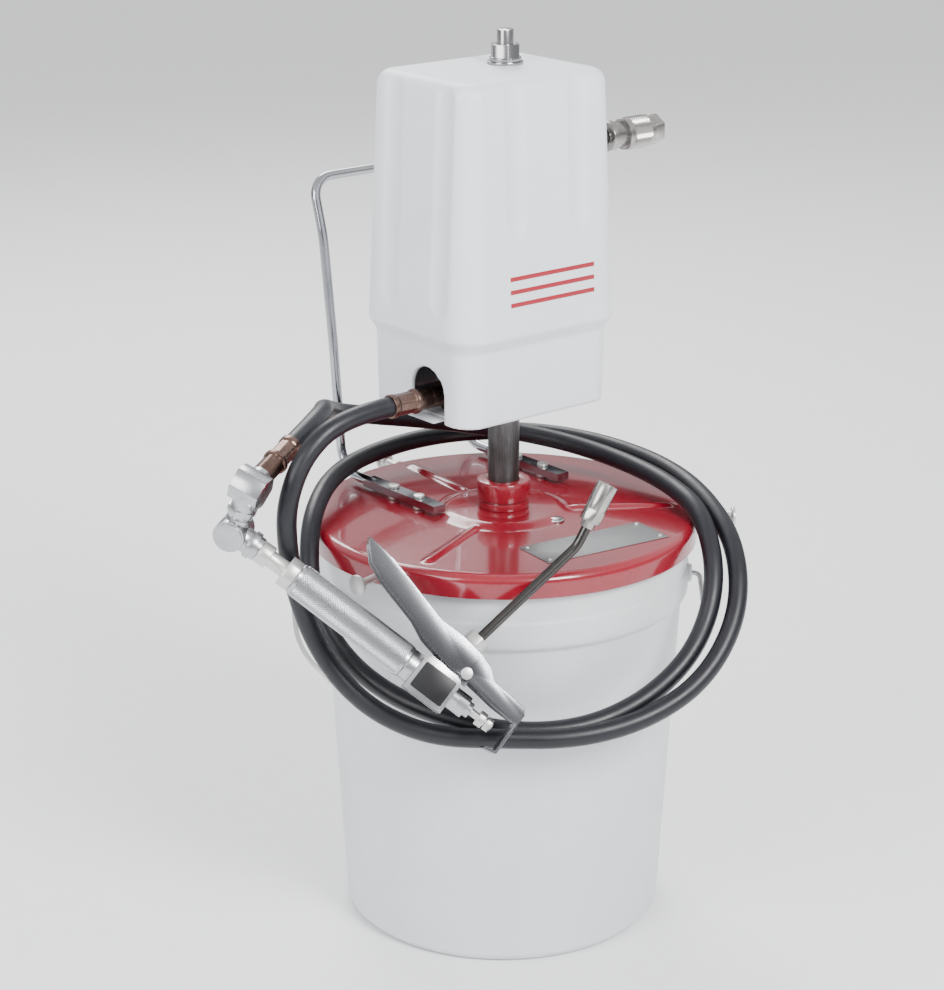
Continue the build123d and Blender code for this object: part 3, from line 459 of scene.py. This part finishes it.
# ---------------------------------------------------------------- lid
@dataclass
class Lid:
    """Pressed lid with a rolled edge, a plateau and raised ribs."""

    sheet_mm: float = 1.6
    edge_mm: float = 7.0
    plateau_mm: float = 54.0
    plateau_rise_mm: float = 4.0
    rib_rise_mm: float = 2.6
    rib_half_width_mm: float = 5.4
    rib_angles: tuple[float, ...] = (85.0, 205.0, 325.0)
    rib_ends_mm: tuple[float, float] = (50.0, 141.0)
    plate_turn: float = -7.0
    plate_mm: tuple[float, float, float] = (114.0, 42.0, 0.6)
    rivet_inset_mm: float = 5.0
    segments: int = 360

    def top(self) -> float:
        """Height of the lid's flat."""
        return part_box("label_plate")[0].z

    def profile(self) -> Profile:
        """Outer face of the lid from the tube to the foot of its skirt."""
        radius = frame_radius("lid")
        top, edge = self.top(), self.edge_mm * MM
        plateau, rise = self.plateau_mm * MM, self.plateau_rise_mm * MM
        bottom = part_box("lid")[0].z
        points = [(0.0142, top + rise), (plateau - 0.011, top + rise)]
        for step in range(1, 8):
            share = step / 8
            height = top + rise * (1 - share * share * (3 - 2 * share))
            points.append((plateau - 0.011 + 0.014 * share, height))
        flat = 44
        inner, outer = plateau + 0.003, radius - edge
        points += [(inner + (outer - inner) * step / flat, top) for step in range(flat + 1)]
        for step in range(1, 9):
            turn = math.pi / 2 * step / 8
            points.append((outer + edge * math.sin(turn), top - edge * (1 - math.cos(turn))))
        return points + [(radius, bottom + 0.003), (radius, bottom)]

    def rib_height(self, point: Vector) -> float:
        """Height that the ribs add at a point of the lid."""
        radius, angle = math.hypot(point.x, point.y), math.atan2(point.y, point.x)
        height = 0.0
        for middle in self.rib_angles:
            away = angle - math.radians(middle)
            along, across = radius * math.cos(away) / MM, radius * math.sin(away) / MM
            if along <= 0:
                continue
            start, end = self.rib_ends_mm
            fade = min(1.0, max(0.0, (along - start) / 10)) * min(1.0, max(0.0, (end - along) / 7))
            side = max(0.0, 1 - (across / self.rib_half_width_mm) ** 2)
            height = max(height, side * side * fade * (2 - fade))
        return height * self.rib_rise_mm * MM

    def build(self) -> None:
        """Turn the lid, press its ribs and give it its thickness."""
        lid = lathe("lid_pressing", self.profile(), self.segments)
        shape_vertices(lid, lambda point: point + Vector((0, 0, self.rib_height(point))))
        only(lid)
        bpy.ops.object.mode_set(mode="EDIT")
        bpy.ops.mesh.select_all(action="SELECT")
        bpy.ops.mesh.normals_make_consistent(inside=False)
        bpy.ops.object.mode_set(mode="OBJECT")
        if sum(face.normal.z for face in lid.data.polygons) < 0:
            lid.data.flip_normals()
        apply_modifier(lid, "SOLIDIFY", thickness=self.sheet_mm * MM, offset=-1.0)
        smooth(lid, 60)
        mount(lid, "lid", stands_for=["lid"])
        self.plate()

    def plate(self) -> None:
        """Blank plate with softened edges and a rivet near each corner."""
        node = frame["nodes"]["label_plate"]
        corners = [vertex.co for vertex in node.data.vertices]
        centre = sum((Vector(corner) for corner in corners), Vector()) / len(corners)
        turn = math.radians(self.plate_turn)
        length, width, thickness = (size * MM for size in self.plate_mm)
        inset = self.rivet_inset_mm * MM
        bpy.ops.object.select_all(action="DESELECT")
        bpy.ops.mesh.primitive_cube_add(size=1.0)
        plate = newest("blank_rating_plate")
        plate.scale = (length, width, thickness)
        settle(plate)
        apply_modifier(plate, "BEVEL", width=0.003, segments=4, affect="EDGES", limit_method="ANGLE")
        middle = Matrix.Translation((centre.x, centre.y, self.top() + thickness / 2))
        place = middle @ Matrix.Rotation(turn, 4, "Z")
        settle(plate, place)
        mount(smooth(plate), "label_plate", stands_for=["label_plate"])
        for number, (x, y) in enumerate(((-1, -1), (1, -1), (-1, 1), (1, 1)), start=1):
            head = [(0, 0.0012), (0.0011, 0.001), (0.0018, 0.0002), (0.0018, 0)]
            rivet = lathe(f"plate_rivet_{number}", head, 24)
            corner = (x * (length / 2 - inset), y * (width / 2 - inset), thickness / 2)
            settle(rivet, place @ Matrix.Translation(corner))
            mount(smooth(rivet), "label_plate", FINISHES["zinc_plate"])


# ---------------------------------------------------------------- motor cover
@dataclass
class MotorCover:
    """Moulded cover over the air motor, with plain trim lines on its face."""

    voxel_mm: float = 1.5
    draft_degrees: float = 2.6
    shoulder_mm: float = 511.0
    trim_heights_mm: tuple[float, ...] = (536.0, 546.0, 556.0)
    trim_x_mm: tuple[float, float] = (-56.0, 28.0)

    def build(self) -> None:
        """Soften the moulding's edges and lay the trim lines on it."""
        cover = bpy.data.objects.new("moulded_cover", frame["nodes"]["motor_cover"].data.copy())
        bpy.context.scene.collection.objects.link(cover)
        only(cover)
        bpy.ops.mesh.customdata_custom_splitnormals_clear()
        bpy.ops.object.mode_set(mode="EDIT")
        bpy.ops.mesh.select_all(action="SELECT")
        bpy.ops.mesh.remove_doubles(threshold=0.000005)
        bpy.ops.object.mode_set(mode="OBJECT")
        apply_modifier(cover, "REMESH", mode="VOXEL", voxel_size=self.voxel_mm * MM)
        apply_modifier(cover, "SMOOTH", factor=0.5, iterations=3)
        apply_modifier(cover, "DECIMATE", ratio=0.5)
        only(cover)
        bpy.ops.object.shade_smooth()
        mount(cover, "motor_cover", stands_for=["motor_cover"])
        self.trim()

    def trim(self) -> None:
        """Three plain lines of red film on the cover's right front face."""
        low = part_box("motor_cover")[0]
        slope = math.tan(math.radians(self.draft_degrees))
        start, end = self.trim_x_mm
        for number, height in enumerate(self.trim_heights_mm, start=1):
            bpy.ops.object.select_all(action="DESELECT")
            bpy.ops.mesh.primitive_cube_add(size=1.0)
            line = newest(f"trim_line_{number}")
            line.scale = ((end - start) * MM, 0.0006, 0.0034)
            settle(line)
            apply_modifier(line, "BEVEL", width=0.0002, segments=2)
            depth = low.y + (height - self.shoulder_mm) * MM * slope
            tilt = Matrix.Rotation(math.radians(-self.draft_degrees), 4, "X")
            settle(line, Matrix.Translation(((start + end) / 2 * MM, depth, height * MM)) @ tilt)
            mount(smooth(line), "motor_cover", TRIM_RED)


# ---------------------------------------------------------------- knurls and ferrules
def knurled(name: str, radius: float, length: float, ends: float, round_count: int,
            depth: float) -> bpy.types.Object:
    """Turned sleeve with a diamond knurl between two plain chamfered ends.

    Args:
        name: the piece's name.
        radius: radius over the peaks.
        length: whole length.
        ends: length of each plain end.
        round_count: diamonds round the sleeve.
        depth: depth of the grooves.

    Returns:
        The sleeve, standing on the origin along Z.
    """
    segments = round_count * 2
    pitch = math.tau * radius / segments
    rows = round((length - 2 * ends) / pitch)
    first = [(radius - depth * 2.2, 0.0), (radius - depth, 0.0008), (radius - depth, ends)]
    band = [(radius, ends + (length - 2 * ends) * (row + 0.5) / rows) for row in range(rows)]
    last = [(radius - depth, length - ends), (radius - depth, length - 0.0008),
            (radius - depth * 2.2, length)]
    sleeve = lathe(name, [(0.0, 0.0)] + first + band + last + [(0.0, length)], segments)

    def press(point: Vector) -> Vector:
        """Press the grooves in between the peaks."""
        height = (point.z - ends) * rows / (length - 2 * ends) - 0.5
        if not -0.4 < height < rows - 0.6 or abs(height - round(height)) > 0.1:
            return point
        column = round(math.atan2(point.y, point.x) / math.tau * segments)
        if (column + round(height)) % 2 == 0:
            return point
        share = (radius - depth) / radius
        return Vector((point.x * share, point.y * share, point.z))

    shape_vertices(sleeve, press)
    only(sleeve)
    bpy.ops.object.mode_set(mode="EDIT")
    bpy.ops.mesh.select_all(action="SELECT")
    bpy.ops.mesh.quads_convert_to_tris(quad_method="SHORTEST_DIAGONAL")
    bpy.ops.object.mode_set(mode="OBJECT")
    return smooth(sleeve, 25)


def crimped(name: str, start: Vector, axis: Vector, length: float) -> bpy.types.Object:
    """Hose end: hexagonal nut, neck and a ferrule crimped with eight jaws.

    Args:
        name: the piece's name.
        start: centre of the nut's outer face.
        axis: direction from the nut to the hose.
        length: whole length.

    Returns:
        The hose end in its place.
    """
    shell = 0.024
    neck = length - shell
    profile = rounded([
        (0.0, 0.0), (0.0085, 0.0), (0.0085, neck - 0.002), (0.0099, neck - 0.002), (0.0099, neck + 0.0015),
        (0.0086, neck + 0.003), (0.0086, length - 0.006), (0.0093, length - 0.004),
        (0.0093, length), (0.0, length),
    ], 0.0006, 3)
    end = lathe(name, profile, 96)

    def jaw(point: Vector) -> Vector:
        """Flatten the nut to six sides and the ferrule to eight faint ones."""
        angle = math.atan2(point.y, point.x)
        if math.hypot(point.x, point.y) < 0.004:
            return point
        if point.z < neck - 0.0025:
            sector = (angle + math.pi / 6) % (math.pi / 3) - math.pi / 6
            share = min(1.0, math.cos(math.pi / 6) / math.cos(sector) * 1.1)
        elif neck + 0.003 < point.z < length - 0.005:
            share = 1 - 0.05 * (0.5 + 0.5 * math.cos(8 * angle))
        else:
            share = 1.0
        return Vector((point.x * share, point.y * share, point.z))

    shape_vertices(end, jaw)
    return smooth(settle(end, aimed(start, axis)), 28)


# ---------------------------------------------------------------- hose
HOSE_ROUTE = [
    (-0.132, -0.022, 0.459), (-0.175, -0.022, 0.459), (-0.21, -0.02, 0.438), (-0.228, -0.019, 0.401),
    (-0.226, -0.017, 0.361), (-0.217, -0.016, 0.323), (-0.208, -0.025, 0.286), (-0.196, -0.044, 0.255),
    (-0.181, -0.071, 0.234), (-0.156, -0.105, 0.221), (-0.117, -0.136, 0.219), (-0.072, -0.171, 0.218),
    (-0.018, -0.193, 0.226), (0.037, -0.201, 0.248), (0.079, -0.193, 0.289), (0.105, -0.163, 0.33),
    (0.126, -0.108, 0.352), (0.142, -0.044, 0.36), (0.138, 0.021, 0.364), (0.117, 0.077, 0.366),
    (0.077, 0.12, 0.366), (0.024, 0.139, 0.365), (-0.032, 0.136, 0.363), (-0.082, 0.114, 0.363),
    (-0.125, 0.081, 0.36), (-0.16, 0.048, 0.345), (-0.18, 0.019, 0.309), (-0.178, -0.009, 0.27),
    (-0.164, -0.049, 0.243), (-0.138, -0.096, 0.228), (-0.099, -0.139, 0.219), (-0.049, -0.167, 0.221),
    (0.006, -0.178, 0.237), (0.05, -0.18, 0.268), (0.078, -0.169, 0.313), (0.101, -0.128, 0.351),
    (0.114, -0.073, 0.36), (0.115, -0.013, 0.365), (0.099, 0.045, 0.371), (0.065, 0.093, 0.377),
    (0.019, 0.122, 0.386), (-0.037, 0.128, 0.399), (-0.086, 0.111, 0.415), (-0.127, 0.071, 0.436),
    (-0.16, 0.025, 0.449), (-0.204, 0.006, 0.436),
]


@dataclass
class Hose:
    """High-pressure hose in two loose turns, with a crimped end at each side."""

    diameter: float = 0.0155
    length: float = 2.382
    outlet_x: float = -0.094
    elbow_arm: float = 0.015
    swivel_reach: float = 0.061

    def line(self) -> bpy.types.Object:
        """Hose as one smooth spline with a round section."""
        data = bpy.data.curves.new("delivery_hose", "CURVE")
        data.dimensions = "3D"
        spline = data.splines.new("NURBS")
        spline.points.add(len(HOSE_ROUTE) - 1)
        for point, place in zip(spline.points, HOSE_ROUTE):
            point.co = (*place, 1.0)
        spline.order_u = 3
        spline.use_endpoint_u = True
        spline.use_smooth = True
        data.resolution_u = 8
        data.bevel_depth = self.diameter / 2
        data.bevel_resolution = 8
        data.use_fill_caps = True
        hose = bpy.data.objects.new("delivery_hose", data)
        bpy.context.scene.collection.objects.link(hose)
        return hose

    def build(self) -> None:
        """Lay the hose and crimp its two ends."""
        hose = self.line()
        first, last = Vector(HOSE_ROUTE[0]), Vector(HOSE_ROUTE[-1])
        away = (last - Vector(HOSE_ROUTE[-2])).normalized()
        outlet = Vector((self.outlet_x, first.y, first.z))
        pump_end = crimped("crimped_end_pump", outlet, Vector((-1, 0, 0)), outlet.x - first.x)
        reach = self.swivel_reach - self.elbow_arm
        gun_end = crimped("crimped_end_gun", last + away * reach, -away, reach)
        mount(pump_end, "hose_ferrule_pump", stands_for=["hose_ferrule_pump"])
        mount(gun_end, "hose_ferrule_gun", stands_for=["hose_ferrule_gun"])
        mount(hose, "hose", stands_for=["hose"])


# ---------------------------------------------------------------- control gun
@dataclass
class ControlGun:
    """Control gun with a pressed lever and a knurled grip, its diamonds coarser than a real knurl's."""

    grip_radius_mm: float = 13.5
    grip_length_mm: float = 104.0
    grip_end_mm: float = 3.0
    diamonds: int = 40
    depth_mm: float = 0.6
    soft_edges: dict[str, float] = field(default_factory=lambda: {
        "gun_inlet": 0.4, "gun_body": 0.8, "outlet_hex": 0.5, "grease_coupler": 0.4, "lever": 0.8,
        "lever_pin": 0.5, "valve_stem": 0.3, "swivel_elbow_upper": 0.7, "swivel_elbow_lower": 0.7,
    })

    def build(self) -> None:
        """Knurl the grip and ease the edges of the rest."""
        turning = joint("gun_turn")
        heel, axis = Vector(turning["pos_m"]), Vector(turning["axis"])
        grip = knurled("knurled_grip", self.grip_radius_mm * MM, self.grip_length_mm * MM,
                       self.grip_end_mm * MM, self.diamonds, self.depth_mm * MM)
        settle(grip, aimed(heel, axis))
        neck = lathe("grip_neck", rounded([(0, 0), (0.0123, 0), (0.0123, 0.008), (0, 0.008)], 0.0005), 64)
        settle(neck, aimed(heel + axis * self.grip_length_mm * MM, axis))
        mount(grip, "grip_tube", stands_for=["grip_tube"])
        mount(smooth(neck), "grip_tube")
        for node, width in self.soft_edges.items():
            eased(node, width)


# ---------------------------------------------------------------- air inlet
@dataclass
class AirInlet:
    """Quick coupler with its knurled sleeve."""

    radius_mm: float = 13.5
    diamonds: int = 36
    depth_mm: float = 0.6

    def build(self) -> None:
        """Knurl the sleeve and ease the coupler's hexagon."""
        low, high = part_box("coupler_sleeve")
        height = (low.z + high.z) / 2
        sleeve = knurled("knurled_sleeve", self.radius_mm * MM, high.x - low.x, 0.004, self.diamonds,
                         self.depth_mm * MM)
        settle(sleeve, aimed(Vector((low.x, 0, height)), Vector((1, 0, 0))))
        mount(sleeve, "coupler_sleeve", stands_for=["coupler_sleeve"])
        for node in ("coupler_body", "inlet_nipple"):
            eased(node, 0.5)


# ---------------------------------------------------------------- small parts
@dataclass
class Fittings:
    """Fasteners, collar and plates whose CAD shape is kept with eased edges."""

    soft_edges: dict[str, float] = field(default_factory=lambda: {
        "lid_collar": 0.6, "vent_plug": 0.5, "screw_bosses": 0.4, "thumb_screw_1": 0.6, "thumb_screw_2": 0.6,
        "thumb_screw_3": 0.6, "handle_screws": 0.7, "cover_nut": 0.5, "cover_washer": 0.5, "cover_stud": 0.8,
        "outlet_adapter": 0.4, "base_plate": 0.5, "gun_label": 0.15,
    })

    def build(self) -> None:
        """Ease each part's edges."""
        for node, width in self.soft_edges.items():
            eased(node, width)


# ---------------------------------------------------------------- studio
@dataclass
class Studio:
    """Pale floor, soft lights and the camera."""

    camera_at: tuple[float, float, float] = (-1.2827, -1.5286, 1.0274)
    look: tuple[float, float, float] = (0.5998, 0.7336, -0.3196)
    focal_mm: float = 94.52
    lamps: tuple[tuple[str, tuple[float, float, float], float, float], ...] = (
        ("key", (-0.2, -2.3, 2.0), 95.0, 0.9),
        ("fill", (-2.4, -0.3, 1.5), 42.0, 1.4),
        ("back", (0.9, 1.9, 2.2), 60.0, 1.4),
    )
    sky_levels: tuple[tuple[float, float], ...] = (
        (0.0, 0.8), (0.08, 0.45), (0.16, 0.35), (0.3, 0.7), (0.55, 1.25),
    )

    def sky(self, tree: bpy.types.NodeTree) -> None:
        """Light from above over a darker horizon, which gives the metals their dark lines."""
        place = add_node(tree, "ShaderNodeTexCoord", {}, {})
        parts = add_node(tree, "ShaderNodeSeparateXYZ", {}, {"Vector": place.outputs["Generated"]})
        ramp = add_node(tree, "ShaderNodeValToRGB", {}, {"Fac": parts.outputs["Z"]})
        ramp.color_ramp.elements.remove(ramp.color_ramp.elements[0])
        for spot, level in self.sky_levels:
            stop = ramp.color_ramp.elements.new(spot)
            stop.color = (level, level, level * 1.02, 1.0)
        tree.links.new(ramp.outputs["Color"], tree.nodes["Background"].inputs["Color"])

    def build(self) -> None:
        """Set up floor, sky, lamps and camera."""
        bpy.ops.object.select_all(action="DESELECT")
        bpy.ops.mesh.primitive_plane_add(size=60.0, location=(0, 0, 0))
        floor = newest("floor")
        paper = Finish("paper", "F4F5F6", "F1F2F3", 0.8, grain=Grain.MOULDED, grain_mm=6.0,
                       relief_mm=0.0, uneven=0.02)
        floor.data.materials.append(paper.material())
        world = bpy.data.worlds.new("studio")
        bpy.context.scene.world = world
        world.use_nodes = True
        self.sky(world.node_tree)
        for name, place, power, size in self.lamps:
            data = bpy.data.lights.new(name, "AREA")
            data.energy, data.size = power, size
            lamp = bpy.data.objects.new(name, data)
            lamp.location = place
            aim = Vector((0, 0, 0.4)) - Vector(place)
            lamp.rotation_euler = aim.to_track_quat("-Z", "Y").to_euler()
            bpy.context.scene.collection.objects.link(lamp)
        data = bpy.data.cameras.new("camera")
        data.lens, data.sensor_width = self.focal_mm, 36.0
        camera = bpy.data.objects.new("camera", data)
        camera.location = self.camera_at
        camera.rotation_euler = Vector(self.look).to_track_quat("-Z", "Y").to_euler()
        bpy.context.scene.collection.objects.link(camera)
        bpy.context.scene.camera = camera


def dress_frame() -> None:
    """Give every CAD node the finish of its slot."""
    for node, piece in frame["nodes"].items():
        piece.data.materials.clear()
        piece.data.materials.append(FINISHES[slot_of(node)].material())


def main() -> None:
    """Build the studio and each sub-assembly in turn."""
    logging.basicConfig(level=logging.INFO)
    Studio().build()
    dress_frame()
    for part in (Hose(), Pail(), Lid(), MotorCover(), AirInlet(), ControlGun(), Fittings()):
        LOG.info("building %s", type(part).__name__)
        part.build()


if __name__ == "__main__":
    main()
